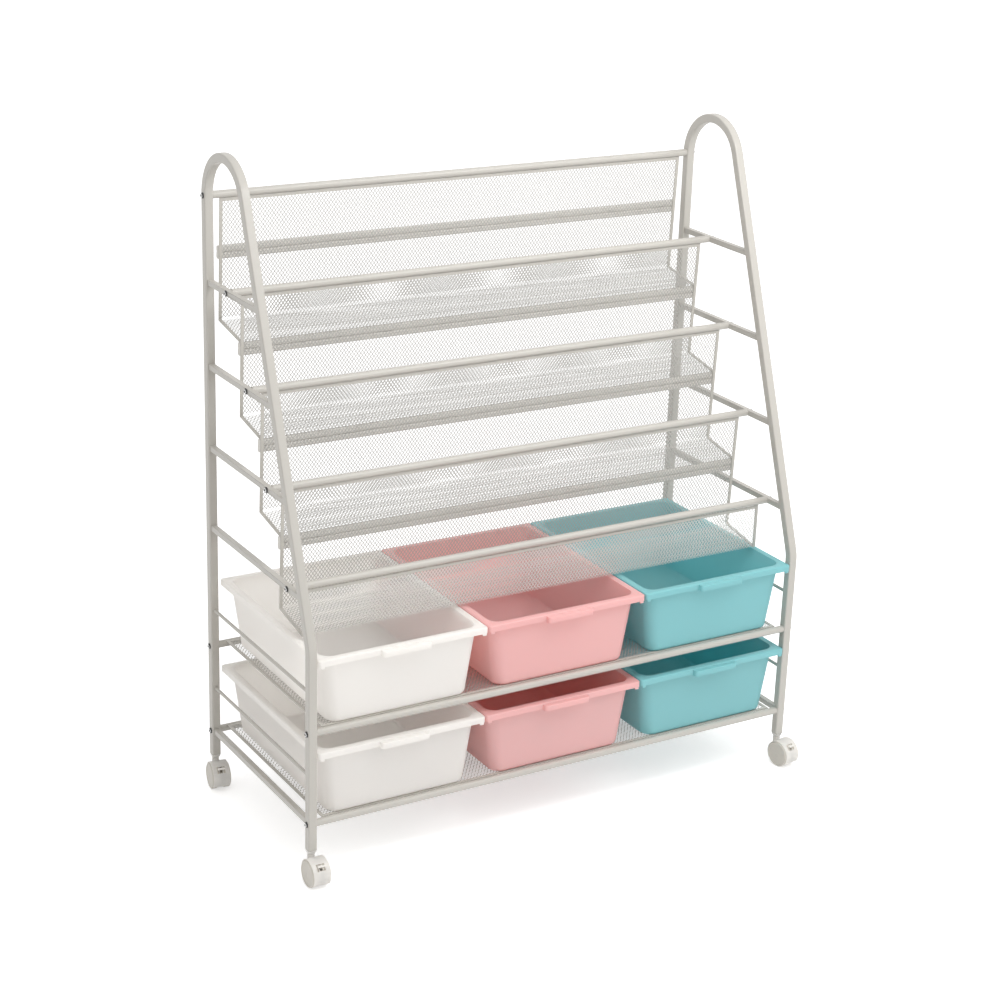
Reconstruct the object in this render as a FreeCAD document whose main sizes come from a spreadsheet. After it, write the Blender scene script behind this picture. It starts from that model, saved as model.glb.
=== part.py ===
import FreeCAD, Part
import Sketcher
import math
import os
from types import SimpleNamespace

doc = FreeCAD.newDocument("book_rack")
sheet = doc.addObject("Spreadsheet::Sheet", "sizes")

# Driving dimensions in millimetres and degrees
dimensions = {
    # Side frames of bent square tube
    "frame_width": 1000.0,
    "frame_height": 1183.0,
    "wheelbase": 401.0,
    "leg_size": 16.0,
    "leg_wall": 1.2,
    "leg_corner": 2.5,
    "foot_clearance": 10.0,
    "arch_radius": 78.0,
    "knee_height": 423.0,
    "knee_radius": 60.0,
    # Cross rails and the tiers they carry
    "rail_diameter": 13.0,
    "rail_wall": 1.0,
    "rail_plug": 14.0,
    "top_rail_drop": 85.0,
    "first_step_extra": 7.0,
    "lowest_rail_setback": 82.0,
    "lower_shelf_height": 106.0,
    "shelf_pitch": 168.5,
    # Rungs and guard wires of the side frames
    "rung_size": 10.0,
    "rung_wall": 1.0,
    "guard_diameter": 6.0,
    "lower_guard_height": 192.5,
    "upper_guard_height": 345.5,
    # Button head bolts
    "bolt_diameter": 6.0,
    "bolt_head_diameter": 10.5,
    "bolt_head_height": 3.3,
    "bolt_key": 4.0,
    "bolt_key_depth": 2.0,
    "bolt_reach": 10.0,
    "bolt_clearance": 0.1,
    # Bent mesh panels of the book pockets
    "panel_inset": 14.0,
    "border_width": 6.0,
    "border_thick": 2.0,
    "mesh_thick": 0.8,
    "panel_lean": 10.0,
    "floor_drop": 16.5,
    "seat_gap": 0.3,
    "strip_height": 23.0,
    "strip_depth": 10.0,
    "strip_wall": 0.8,
    "strip_round": 3.5,
    "lip_height": 91.0,
    "lip_clearance": 6.2,
    "lip_gap": 1.2,
    "lip_tab_width": 8.0,
    # Storage bins
    "bin_gap": 2.0,
    "bin_height": 125.5,
    "bin_overhang": 3.0,
    "bin_back_gap": 2.0,
    "bin_wall": 2.0,
    "bin_rim": 10.0,
    "bin_skirt": 11.0,
    "bin_side_taper": 17.0,
    "bin_end_taper": 6.0,
    "bin_corner": 26.0,
    "bin_rim_corner": 5.0,
    "bin_lip_width": 92.0,
    "bin_lip_reach": 8.0,
    "bin_lip_drop": 8.0,
    "bin_lug": 7.0,
    # Twin wheel casters
    "wheel_radius": 24.0,
    "wheel_width": 12.5,
    "wheel_bevel": 1.5,
    "wheel_proud": 2.0,
    "disc_step": 0.6,
    "cap_thick": 3.0,
    "dimple_depth": 0.8,
    "axle_diameter": 5.0,
    "web_thick": 9.0,
    "wheel_clearance": 0.5,
    "caster_trail": 20.0,
    "hood_clearance": 0.8,
    "hood_wall": 1.2,
    "hood_skirt": 14.0,
    "neck_diameter": 13.0,
    "turn_gap": 0.8,
    "stem_diameter": 7.0,
    "stem_seat": 7.0,
    "stem_engaged": 28.0,
    "collar_height": 5.0,
    "boss_height": 2.5,
    "plug_height": 32.0,
    "fit_clearance": 0.05,
    "brake_thick": 3.0,
    "brake_width": 14.0,
    "brake_arm": 14.0,
    "brake_reach": 18.0,
    "brake_pin": 4.0,
    "brake_pin_forward": 6.0,
    "brake_pin_rise": 16.0,
    "brake_tilt": 20.0,
    "brake_swing": 18.0,
    "caster_turn": 8.0,
}
for row, (alias, number) in enumerate(dimensions.items(), start=1):
    sheet.set("A%d" % row, alias)
    sheet.set("B%d" % row, str(number))
    sheet.setAlias("B%d" % row, alias)
doc.recompute()
size = SimpleNamespace(**{alias: float(sheet.get(alias)) for alias in dimensions})

# Counts and shares
tiers = 5
bins_across = 3
lip_tabs = 5
net_columns = 21
panel_net_rows = 10
floor_net_rows = 4
shelf_net_rows = 14
open_share = 0.82
key_share = 0.57735
upright_share = 0.9
round_share = 0.7
arm_share = 0.7
overrun = 5.0 * size.border_thick

Vector = FreeCAD.Vector
x_axis = Vector(1, 0, 0)
y_axis = Vector(0, 1, 0)
z_axis = Vector(0, 0, 1)
subparts = []


# Heights worked out from the driving dimensions
leg_foot = 2 * size.wheel_radius + size.foot_clearance
rail_radius = size.rail_diameter / 2
shelf_z = {
    "lower": size.lower_shelf_height,
    "upper": size.lower_shelf_height + size.shelf_pitch,
}
bins_top = shelf_z["upper"] + rail_radius + size.seat_gap + size.bin_height
lowest_z = bins_top + size.lip_clearance + size.lip_height
top_z = size.frame_height - size.top_rail_drop
tier_drop = (top_z - lowest_z) / (tiers - 1)
tier_z = [top_z - tier_drop * k for k in range(tiers)]
top_gap = rail_radius + size.seat_gap
floor_front_drop = size.lip_height - size.border_thick / 2
panel_drop = tier_drop + floor_front_drop - size.floor_drop
lean = math.atan2(size.panel_lean, panel_drop - top_gap)
strip_top_drop = floor_front_drop + size.border_thick / 2 + size.seat_gap
strip_foot_drop = strip_top_drop + size.strip_height * math.cos(lean)

# Reach to the front and the rear, which sets the middle of the depth
turn = math.radians(size.caster_turn)
tilt = math.radians(size.brake_tilt)
hood_radius = size.wheel_radius + size.hood_clearance + size.hood_wall
wheel_half = size.web_thick / 2 + size.wheel_clearance + size.wheel_width
hood_half = wheel_half - size.wheel_proud
brake_tip = size.brake_pin_forward + size.brake_reach * math.cos(tilt)


def turned_reach(reach, half):
    # Farthest point of a box corner on a turned caster
    return reach * math.cos(turn) + half * math.sin(turn)


front_reach = max(
    turned_reach(size.caster_trail + hood_radius, hood_half),
    turned_reach(size.caster_trail + size.wheel_radius, wheel_half),
    turned_reach(size.caster_trail + brake_tip, size.brake_width / 2),
)
strip_flat = size.border_thick / 2 + size.strip_depth - size.strip_round
strip_rear = (
    (strip_foot_drop - top_gap) * math.tan(lean) + strip_flat * math.cos(lean)
    + size.strip_round * (1 - math.sin(lean))
)
rear_reach = max(
    size.leg_size / 2,
    size.panel_lean + size.border_thick / 2,
    strip_rear,
    turned_reach(hood_radius - size.caster_trail, hood_half),
)
back_y = (size.wheelbase + front_reach - rear_reach) / 2
front_y = back_y - size.wheelbase
leg_x = (size.frame_width - size.leg_size) / 2
tier_step = (size.wheelbase - size.lowest_rail_setback - size.first_step_extra) / (tiers - 1)
tier_y = [back_y] + [back_y - size.first_step_extra - tier_step * k for k in range(1, tiers)]
panel_width = size.frame_width - 2 * size.leg_size - 2 * size.panel_inset
sides = {"left": -1, "right": 1}

# Arch and slope of the side tubes
arch_y = back_y - size.arch_radius
arch_z = size.frame_height - size.leg_size / 2 - size.arch_radius
to_arch = math.hypot(arch_y - front_y, arch_z - size.knee_height)
slope = math.atan2(arch_z - size.knee_height, arch_y - front_y) + math.asin(size.arch_radius / to_arch)
slope_length = math.sqrt(to_arch ** 2 - size.arch_radius ** 2)
slope_run = math.cos(slope)
slope_rise = math.sin(slope)


def keep(item, label):
    # Exported sub-part under its node name
    item.Label = label
    subparts.append(item)
    return item


def feature(label, shape, placement=None):
    item = doc.addObject("Part::Feature", label)
    item.Shape = shape
    if placement:
        item.Placement = placement
    return keep(item, label)


def bound(kind, name, sizes, placement):
    # Primitive whose sizes follow the sheet
    item = doc.addObject(kind, name)
    for prop, expression in sizes.items():
        item.setExpression(prop, expression)
    item.Placement = placement
    return item


def along(axis, base):
    # Placement that turns a primitive's own Z to the axis
    return FreeCAD.Placement(base, FreeCAD.Rotation(z_axis, axis))


def rounded_rectangle(x0, x1, y0, y1, radius, z):
    # Closed wire with round corners, lying flat
    c = radius * (1 - math.sqrt(0.5))
    corners = [
        (Vector(x1 - radius, y0, z), Vector(x1 - c, y0 + c, z), Vector(x1, y0 + radius, z)),
        (Vector(x1, y1 - radius, z), Vector(x1 - c, y1 - c, z), Vector(x1 - radius, y1, z)),
        (Vector(x0 + radius, y1, z), Vector(x0 + c, y1 - c, z), Vector(x0, y1 - radius, z)),
        (Vector(x0, y0 + radius, z), Vector(x0 + c, y0 + c, z), Vector(x0 + radius, y0, z)),
    ]
    edges = []
    for index, (start, middle, end) in enumerate(corners):
        edges.append(Part.LineSegment(corners[index - 1][2], start).toShape())
        edges.append(Part.Arc(start, middle, end).toShape())
    return Part.Wire(edges)


def prism(points, x0, x1):
    # Side outline of (y, z) points carried across the width
    corners = [Vector(x0, y, z) for y, z in points]
    return Part.Face(Part.makePolygon(corners + corners[:1])).extrude(Vector(x1 - x0, 0, 0))


def bent_strip(points, thick, x0, x1):
    # Flat bar bent once, with a mitred corner, carried across the width
    (ay, az), (by, bz), (cy, cz) = points
    first = Vector(0, by - ay, bz - az).normalize()
    second = Vector(0, cy - by, cz - bz).normalize()
    first_normal = first.cross(x_axis)
    second_normal = second.cross(x_axis)
    mitre = (first_normal + second_normal).normalize()
    reach = thick / 2 / mitre.dot(first_normal)
    outline = []
    for sign in (1, -1):
        row = [
            Vector(0, ay, az) + first_normal * (sign * thick / 2),
            Vector(0, by, bz) + mitre * (sign * reach),
            Vector(0, cy, cz) + second_normal * (sign * thick / 2),
        ]
        outline += row if sign == 1 else row[::-1]
    return prism([(p.y, p.z) for p in outline], x0, x1)


def flat_net(width, length, rows, thick):
    # Sheet pierced by staggered diamonds, centred across and running down from zero
    step_x = width / net_columns
    step_y = length / (rows + 1)
    half_x = step_x / 2 * open_share
    half_y = step_y * open_share
    outer = [(-width / 2, 0), (width / 2, 0), (width / 2, -length), (-width / 2, -length)]
    outlines = [outer]
    for row in range(rows):
        y = -step_y * (row + 1)
        columns = net_columns - row % 2
        for column in range(columns):
            x = (column - (columns - 1) / 2) * step_x
            outlines.append([(x - half_x, y), (x, y - half_y), (x + half_x, y), (x, y + half_y)])
    wires = []
    for outline in outlines:
        corners = [Vector(x, y, -thick / 2) for x, y in outline]
        wires.append(Part.makePolygon(corners + corners[:1]))
    return Part.makeFace(wires, "Part::FaceMakerBullseye").extrude(Vector(0, 0, thick))


def laid(shape, start, end):
    # Copy of a flat net laid along a side view line
    (ay, az), (by, bz) = start, end
    down = Vector(0, by - ay, bz - az).normalize()
    turned = FreeCAD.Rotation(y_axis, down * -1)
    placed = shape.copy()
    placed.Placement = FreeCAD.Placement(Vector(0, ay, az), turned)
    return placed


# Side tubes
def tube_path():
    knee_tangent = size.knee_radius * math.tan((math.pi / 2 - slope) / 2)
    top_y = front_y + slope_length * slope_run
    top_z = size.knee_height + slope_length * slope_rise
    knee_centre = front_y + size.knee_radius
    half_knee = (math.pi / 2 - slope) / 2
    crown = (math.pi / 2 + slope) / 2
    foot = Vector(0, back_y, leg_foot)
    arch_start = Vector(0, back_y, arch_z)
    arch_middle = Vector(
        0,
        arch_y + size.arch_radius * math.cos(crown),
        arch_z + size.arch_radius * math.sin(crown),
    )
    arch_end = Vector(0, top_y, top_z)
    knee_start = Vector(
        0,
        front_y + knee_tangent * slope_run,
        size.knee_height + knee_tangent * slope_rise,
    )
    knee_end = Vector(0, front_y, size.knee_height - knee_tangent)
    knee_middle = Vector(
        0,
        knee_centre - size.knee_radius * math.cos(half_knee),
        size.knee_height - knee_tangent + size.knee_radius * math.sin(half_knee),
    )
    front_foot = Vector(0, front_y, leg_foot)
    return Part.Wire([
        Part.LineSegment(foot, arch_start).toShape(),
        Part.Arc(arch_start, arch_middle, arch_end).toShape(),
        Part.LineSegment(arch_end, knee_start).toShape(),
        Part.Arc(knee_start, knee_middle, knee_end).toShape(),
        Part.LineSegment(knee_end, front_foot).toShape(),
    ])


def swept_square(half, radius):
    profile = rounded_rectangle(-half, half, back_y - half, back_y + half, radius, leg_foot)
    return tube_path().makePipeShell([profile], True, True)


def bolt_hole(y, z, reach):
    radius = size.bolt_diameter / 2 + size.bolt_clearance
    return Part.makeCylinder(radius, 2 * reach, Vector(-reach, y, z), x_axis)


leg_rails = {
    "top_rail": (tier_y[0], tier_z[0]),
    "upper_front_rail": (front_y, shelf_z["upper"]),
    "upper_back_rail": (back_y, shelf_z["upper"]),
    "lower_front_rail": (front_y, shelf_z["lower"]),
    "lower_back_rail": (back_y, shelf_z["lower"]),
}
rung_rails = {"tier_%d_rail" % (k + 1): (tier_y[k], tier_z[k]) for k in range(1, tiers)}

tube = swept_square(size.leg_size / 2, size.leg_corner)
tube = tube.cut(swept_square(size.leg_size / 2 - size.leg_wall, size.leg_corner - size.leg_wall))
tube = tube.cut([bolt_hole(y, z, size.leg_size) for y, z in leg_rails.values()])
for side, sign in sides.items():
    side_place = FreeCAD.Placement(Vector(sign * leg_x, 0, 0), FreeCAD.Rotation())
    feature(side + "_side_tube", tube, side_place)


# Rungs between the legs, coped to the sloping tube
def slope_back(z):
    return front_y + ((z - size.knee_height) * slope_run + size.leg_size / 2) / slope_rise


def tier_rung(y, z):
    half = size.rung_size / 2
    inner = half - size.rung_wall
    start = back_y - size.leg_size / 2
    low_end = slope_back(z - half)
    high_end = slope_back(z + half)
    outline = [(start, z - half), (low_end, z - half), (high_end, z + half), (start, z + half)]
    bore = [(start, z - inner), (low_end, z - inner), (low_end, z + inner), (start, z + inner)]
    rung = prism(outline, -half, half).cut(prism(bore, -inner, inner))
    return rung.cut(bolt_hole(y, z, size.rung_size))


def bottom_rung():
    half = size.rung_size / 2
    inner = half - size.rung_wall
    z = shelf_z["lower"]
    start = front_y + size.leg_size / 2
    end = back_y - size.leg_size / 2
    outer = prism([(start, z - half), (end, z - half), (end, z + half), (start, z + half)], -half, half)
    bore = prism([(start, z - inner), (end, z - inner), (end, z + inner), (start, z + inner)], -inner, inner)
    return outer.cut(bore)


rungs = Part.makeCompound([tier_rung(y, z) for y, z in rung_rails.values()] + [bottom_rung()])
for side, sign in sides.items():
    side_place = FreeCAD.Placement(Vector(sign * leg_x, 0, 0), FreeCAD.Rotation())
    feature(side + "_rungs", rungs, side_place)

# Guard wires beside the bins
wires = []
for side, sign in sides.items():
    for level in ("lower", "upper"):
        height = getattr(size, level + "_guard_height")
        base = Vector(sign * leg_x, front_y + size.leg_size / 2, height)
        wires.append(bound("Part::Cylinder", "%s_%s_guard" % (side, level), {
            "Radius": "sizes.guard_diameter / 2",
            "Height": "sizes.wheelbase - sizes.leg_size",
        }, along(y_axis, base)))
guards = doc.addObject("Part::Compound", "guard_wires")
guards.Links = wires
keep(guards, "guard_wires")


# Rails with threaded end plugs
def rail(label, length, y, z):
    base = Vector(-doc.sizes.evalExpression(length) / 2, y, z)
    outer = bound("Part::Cylinder", label + "_tube", {
        "Radius": "sizes.rail_diameter / 2",
        "Height": length,
    }, along(x_axis, base))
    cavity = bound("Part::Cylinder", label + "_cavity", {
        "Radius": "sizes.rail_diameter / 2 - sizes.rail_wall",
        "Height": length + " - 2 * sizes.rail_plug",
    }, along(x_axis, base + x_axis * size.rail_plug))
    thread = bound("Part::Cylinder", label + "_thread", {
        "Radius": "sizes.bolt_diameter / 2 + sizes.fit_clearance",
        "Height": length,
    }, along(x_axis, base))
    bored = doc.addObject("Part::Cut", label + "_bored")
    bored.Base = outer
    bored.Tool = thread
    hollow = doc.addObject("Part::Cut", label)
    hollow.Base = bored
    hollow.Tool = cavity
    keep(hollow, label)


for label, (y, z) in leg_rails.items():
    rail(label, "(sizes.frame_width - 2 * sizes.leg_size)", y, z)
for label, (y, z) in rung_rails.items():
    rail(label, "(sizes.frame_width - sizes.leg_size - sizes.rung_size)", y, z)


# Bolts through the legs and rungs into the rails
def bolt(through):
    head = size.bolt_head_diameter / 2
    crown = size.bolt_head_height
    flat = head - crown
    outline = Part.Wire([
        Part.LineSegment(Vector(0, 0, 0), Vector(head, 0, 0)).toShape(),
        Part.Arc(
            Vector(head, 0, 0),
            Vector(flat + crown * math.sqrt(0.5), 0, crown * math.sqrt(0.5)),
            Vector(flat, 0, crown),
        ).toShape(),
        Part.LineSegment(Vector(flat, 0, crown), Vector(0, 0, crown)).toShape(),
        Part.LineSegment(Vector(0, 0, crown), Vector(0, 0, 0)).toShape(),
    ])
    dome = Part.Face(outline).revolve(Vector(0, 0, 0), z_axis, 360)
    shank_length = through + size.bolt_reach
    shank = Part.makeCylinder(size.bolt_diameter / 2, shank_length, Vector(0, 0, 0), z_axis * -1)
    key = []
    for corner in range(7):
        angle = corner * math.pi / 3
        reach = size.bolt_key * key_share
        key.append(Vector(reach * math.cos(angle), reach * math.sin(angle), crown - size.bolt_key_depth))
    recess = Part.Face(Part.makePolygon(key)).extrude(z_axis * size.bolt_head_height)
    return dome.fuse(shank).removeSplitter().cut(recess)


bolts = []
for sign in sides.values():
    outward = x_axis * sign
    for rails, through in ((leg_rails, size.leg_size), (rung_rails, size.rung_size)):
        for y, z in rails.values():
            placed = bolt(through)
            placed.Placement = along(outward, Vector(sign * (leg_x + through / 2), y, z))
            bolts.append(placed)
feature("frame_bolts", Part.makeCompound(bolts))

# Mesh panels with flat borders, bent into book pockets
panel_text = "sizes.frame_width - 2 * sizes.leg_size - 2 * sizes.panel_inset"
half_panel = panel_width / 2
half_mesh = half_panel - size.border_width
behind = size.border_thick / 2 + size.seat_gap


def panel_plane(k, z):
    # Middle of the leaning sheet of a tier at a height
    share = (tier_z[k] - top_gap - z) / (panel_drop - top_gap)
    return tier_y[k] + size.panel_lean * share


for k in range(tiers - 1):
    top = (tier_y[k], tier_z[k] - top_gap)
    bend = (tier_y[k] + size.panel_lean, tier_z[k] - panel_drop)
    front_z = bend[1] - size.floor_drop
    if k < tiers - 2:
        front_edge = panel_plane(k + 1, front_z) + behind / math.cos(lean)
    else:
        front_edge = tier_y[k + 1] + behind
    floor_angle = math.atan2(size.floor_drop, bend[0] - front_edge)
    front_edge += size.border_thick / 2 * abs(math.sin(floor_angle - lean))
    edge = (front_edge, front_z)
    under = (
        top[0] + size.border_width * math.sin(lean),
        top[1] - size.border_width * math.cos(lean),
    )
    beyond = (
        edge[0] - overrun * math.cos(floor_angle),
        edge[1] - overrun * math.sin(floor_angle),
    )
    border = bent_strip([top, bend, edge], size.border_thick, -half_panel, half_panel)
    window = bent_strip([under, bend, beyond], 2 * overrun, -half_mesh, half_mesh)
    feature("panel_%d_frame" % (k + 1), border.cut(window))
    corner = floor_angle - lean
    start = size.mesh_thick / 2 * (1 + abs(math.sin(corner))) / math.cos(corner)
    floor_start = (bend[0] - start * math.cos(floor_angle), bend[1] - start * math.sin(floor_angle))
    back_length = math.hypot(bend[0] - under[0], bend[1] - under[1])
    floor_length = math.hypot(edge[0] - floor_start[0], edge[1] - floor_start[1])
    feature("panel_%d_mesh" % (k + 1), Part.makeCompound([
        laid(flat_net(2 * half_mesh, back_length, panel_net_rows, size.mesh_thick), under, bend),
        laid(flat_net(2 * half_mesh, floor_length, floor_net_rows, size.mesh_thick), floor_start, edge),
    ]))

# Rolled strips behind the panels, under the front edges of the pocket floors
roll_height = size.strip_height / 2


def strip_rolls(inset):
    # Two rolls, one above the other, pulled in from their outside by a wall
    rolls = []
    for low in (0, roll_height):
        wire = rounded_rectangle(
            inset, size.strip_depth - inset, low + inset, low + roll_height - inset,
            size.strip_round - inset, 0,
        )
        rolls.append(Part.Face(wire).extrude(z_axis * panel_width))
    return rolls[0].fuse(rolls[1])


strip_shape = strip_rolls(0).cut(strip_rolls(size.strip_wall)).removeSplitter()
strip_turn = FreeCAD.Rotation(x_axis, math.degrees(lean))
strip_axes = FreeCAD.Rotation(y_axis, z_axis, x_axis, "XYZ")
for k in range(tiers - 1):
    z = tier_z[k] - strip_foot_drop
    base = Vector(-half_panel, panel_plane(k, z), z)
    base += strip_turn.multVec(y_axis) * (size.border_thick / 2)
    feature(
        "panel_%d_strip" % (k + 1), strip_shape,
        FreeCAD.Placement(base, strip_turn.multiply(strip_axes)),
    )

# Front lip hung under the lowest tier rail
lip_y = tier_y[-1]
lip_top = tier_z[-1] - rail_radius - size.lip_gap
lip_bottom = tier_z[-1] - size.lip_height
half_border = size.border_thick / 2


def lip_slab(x0, x1, z0, z1, half):
    return Part.makeBox(x1 - x0, 2 * half, z1 - z0, Vector(x0, lip_y - half, z0))


lip = lip_slab(-half_panel, half_panel, lip_bottom, lip_top, half_border)
lip = lip.cut(lip_slab(-half_mesh, half_mesh, lip_bottom - overrun, lip_top - size.border_width, overrun))
for tab in range(lip_tabs):
    x = (tab - (lip_tabs - 1) / 2) * (panel_width - size.lip_tab_width) / (lip_tabs - 1)
    half_tab = size.lip_tab_width / 2
    tab_top = lip_top + size.lip_gap - size.seat_gap
    lip = lip.fuse(lip_slab(x - half_tab, x + half_tab, lip_top, tab_top, half_border))
feature("front_lip_frame", lip.removeSplitter())
lip_start = (lip_y, lip_top - size.border_width)
lip_length = lip_start[1] - lip_bottom
lip_net = flat_net(2 * half_mesh, lip_length, floor_net_rows, size.mesh_thick)
feature("front_lip_mesh", laid(lip_net, lip_start, (lip_y, lip_bottom)))

# Mesh shelves level with the tops of their rails
sheet_drop = rail_radius - size.border_thick
chord = math.sqrt(rail_radius ** 2 - sheet_drop ** 2)
shelf_front = front_y + chord + size.seat_gap
shelf_back = back_y - chord - size.seat_gap
for level, z in shelf_z.items():
    plate = bound("Part::Box", level + "_shelf_plate", {
        "Length": panel_text,
        "Height": "sizes.border_thick",
    }, FreeCAD.Placement(Vector(-half_panel, shelf_front, z + sheet_drop), FreeCAD.Rotation()))
    plate.Width = shelf_back - shelf_front
    window = bound("Part::Box", level + "_shelf_window", {
        "Length": panel_text + " - 2 * sizes.border_width",
        "Height": "3 * sizes.border_thick",
    }, FreeCAD.Placement(
        Vector(-half_mesh, shelf_front + size.border_width, z + sheet_drop - size.border_thick),
        FreeCAD.Rotation(),
    ))
    window.Width = shelf_back - shelf_front - 2 * size.border_width
    ring = doc.addObject("Part::Cut", level + "_shelf_frame")
    ring.Base = plate
    ring.Tool = window
    keep(ring, ring.Name)
    net_z = z + sheet_drop + size.border_thick / 2
    net_back = (shelf_back - size.border_width, net_z)
    net_front = (shelf_front + size.border_width, net_z)
    net = flat_net(2 * half_mesh, net_back[0] - net_front[0], shelf_net_rows, size.mesh_thick)
    feature(level + "_shelf_mesh", laid(net, net_back, net_front))


# Storage bins, tapered with a turned down rim and a front grip
bin_pitch = (size.frame_width - 2 * size.leg_size) / bins_across
bin_width = bin_pitch - size.bin_gap
bin_front = front_y - size.leg_size / 2 - size.bin_overhang
bin_back = back_y - size.leg_size / 2 - size.bin_back_gap


def tub(inset, floor_z, top_z):
    # Tapered tub pulled in from the bin's body by an even wall
    rim = size.bin_rim + inset
    wires = []
    for z in (0, size.bin_height):
        share = 1 - z / size.bin_height
        side = rim + size.bin_side_taper * share
        end = rim + size.bin_end_taper * share
        wires.append(rounded_rectangle(
            -bin_width / 2 + side, bin_width / 2 - side,
            bin_front + end, bin_back - end,
            size.bin_corner - inset, z,
        ))
    whole = Part.makeLoft(wires, True, True)
    span = Part.makeBox(
        2 * bin_width, 2 * size.wheelbase, top_z - floor_z,
        Vector(-bin_width, bin_front - size.wheelbase / 2, floor_z),
    )
    return whole.common(span)


def front_uprights(block):
    # Upright edges of a block's front face
    middle = block.BoundBox.Center.y
    upright = [edge for edge in block.Edges if abs(edge.tangentAt(0).z) > upright_share]
    return [edge for edge in upright if edge.CenterOfMass.y < middle]


def rim_plate(inset, z0, z1):
    wire = rounded_rectangle(
        -bin_width / 2 + inset, bin_width / 2 - inset, bin_front + inset, bin_back - inset,
        size.bin_rim_corner - inset, z0,
    )
    return Part.Face(wire).extrude(Vector(0, 0, z1 - z0))


def storage_bin():
    top = size.bin_height
    wall = size.bin_wall
    skirt = top - size.bin_skirt
    body = tub(0, 0, top)
    rim = rim_plate(0, skirt, top).cut(rim_plate(wall, skirt, top - wall))
    grip_top = top - wall
    grip = Part.makeBox(
        size.bin_lip_width, size.bin_lip_reach, size.bin_lip_drop,
        Vector(-size.bin_lip_width / 2, bin_front - size.bin_lip_reach, grip_top - size.bin_lip_drop),
    )
    grip = grip.makeFillet(size.bin_lip_reach * round_share, front_uprights(grip))
    hollow = Part.makeBox(
        size.bin_lip_width - 4 * wall, size.bin_lip_reach - wall, size.bin_lip_drop - wall,
        Vector(
            -size.bin_lip_width / 2 + 2 * wall,
            bin_front - size.bin_lip_reach + wall,
            grip_top - size.bin_lip_drop,
        ),
    )
    shape = body.fuse([rim, grip.cut(hollow)])
    for sign in (-1, 1):
        x = sign * (bin_width / 2 - size.bin_lug) - size.bin_lug / 2
        lug_z = skirt - size.bin_lug / 2
        lug = Part.makeBox(size.bin_lug, wall, size.bin_lug / 2, Vector(x, bin_front, lug_z))
        shape = shape.fuse(lug)
    return shape.cut(tub(wall, wall, top)).removeSplitter()


bin_shape = storage_bin()
columns = ("left", "middle", "right")
for level, z in shelf_z.items():
    for column, name in enumerate(columns):
        x = (column - (bins_across - 1) / 2) * bin_pitch
        base = Vector(x, 0, z + rail_radius + size.seat_gap)
        feature("%s_%s_bin" % (level, name), bin_shape, FreeCAD.Placement(base, FreeCAD.Rotation()))


# Casters: sockets in the leg ends, turning housings, twin wheels and brake levers
def socket():
    half = size.leg_size / 2
    plug = half - size.leg_wall - size.fit_clearance * 2
    foot = size.neck_diameter / 2
    collar = Part.makeLoft([
        rounded_rectangle(-foot, foot, -foot, foot, size.leg_corner, leg_foot - size.collar_height),
        rounded_rectangle(-half, half, -half, half, size.leg_corner, leg_foot),
    ], True, True)
    insert = Part.Face(rounded_rectangle(
        -plug, plug, -plug, plug, size.leg_corner - size.leg_wall, leg_foot,
    )).extrude(z_axis * size.plug_height)
    boss_z = leg_foot - size.collar_height - size.boss_height
    boss = Part.makeCylinder(size.neck_diameter / 2, size.boss_height, Vector(0, 0, boss_z))
    bore_radius = size.stem_diameter / 2 + size.fit_clearance
    bore_depth = stem_top + size.leg_wall - boss_z
    bore = Part.makeCylinder(bore_radius, bore_depth, Vector(0, 0, boss_z))
    return collar.fuse([insert, boss]).cut(bore)


def across(radius, half, y, z):
    # Round bar lying across the caster
    return Part.makeCylinder(radius, 2 * half, Vector(-half, y, z), x_axis)


axle_y = -size.caster_trail
axle_z = size.wheel_radius
pin_y = axle_y - size.brake_pin_forward
pin_z = axle_z + size.brake_pin_rise
half_web = size.web_thick / 2
half_lever = half_web * arm_share - size.wheel_clearance
neck_top = leg_foot - size.collar_height - size.boss_height - size.turn_gap
stem_bottom = axle_z + size.stem_seat
stem_top = leg_foot + size.stem_engaged
hood_bottom = axle_z - size.hood_skirt
window_low = -size.brake_reach * math.sin(math.radians(size.brake_swing)) - size.brake_thick
window_high = size.brake_thick


def at_pin(shape):
    # Shape drawn about the brake pin, tilted up and moved to it
    shape.Placement = FreeCAD.Placement(
        Vector(0, pin_y, pin_z), FreeCAD.Rotation(x_axis, -size.brake_tilt),
    )
    return shape


def pin_cut(half, rear):
    # Room for a part of the lever that is half as wide
    half_room = half + size.wheel_clearance
    return at_pin(Part.makeBox(
        2 * half_room, hood_radius, window_high - window_low,
        Vector(-half_room, rear - hood_radius, window_low),
    ))


def housing():
    outer = across(hood_radius, hood_half, axle_y, axle_z)
    inner = across(hood_radius - size.hood_wall, hood_half, axle_y, axle_z)
    reach = 4 * hood_radius
    below_z = hood_bottom - reach
    below = Part.makeBox(reach, reach, reach, Vector(-reach / 2, axle_y - reach / 2, below_z))
    neck_height = neck_top - stem_bottom
    neck = Part.makeCylinder(size.neck_diameter / 2, neck_height, Vector(0, 0, stem_bottom))
    shell = outer.cut(inner).fuse(neck.cut(inner)).cut(pin_cut(size.brake_width / 2, 0))
    web = across(hood_radius - size.hood_wall, half_web, axle_y, axle_z)
    shape = shell.fuse(web.cut(pin_cut(half_lever, size.brake_pin))).cut(below)
    shape = shape.cut(across(size.axle_diameter / 2 + size.fit_clearance, hood_half, axle_y, axle_z))
    shape = shape.cut(across(size.brake_pin / 2 + size.fit_clearance, half_web, pin_y, pin_z))
    stem_hole = Part.makeCylinder(size.stem_diameter / 2, neck_height, Vector(0, 0, stem_bottom))
    return shape.cut(stem_hole).removeSplitter()


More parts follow.
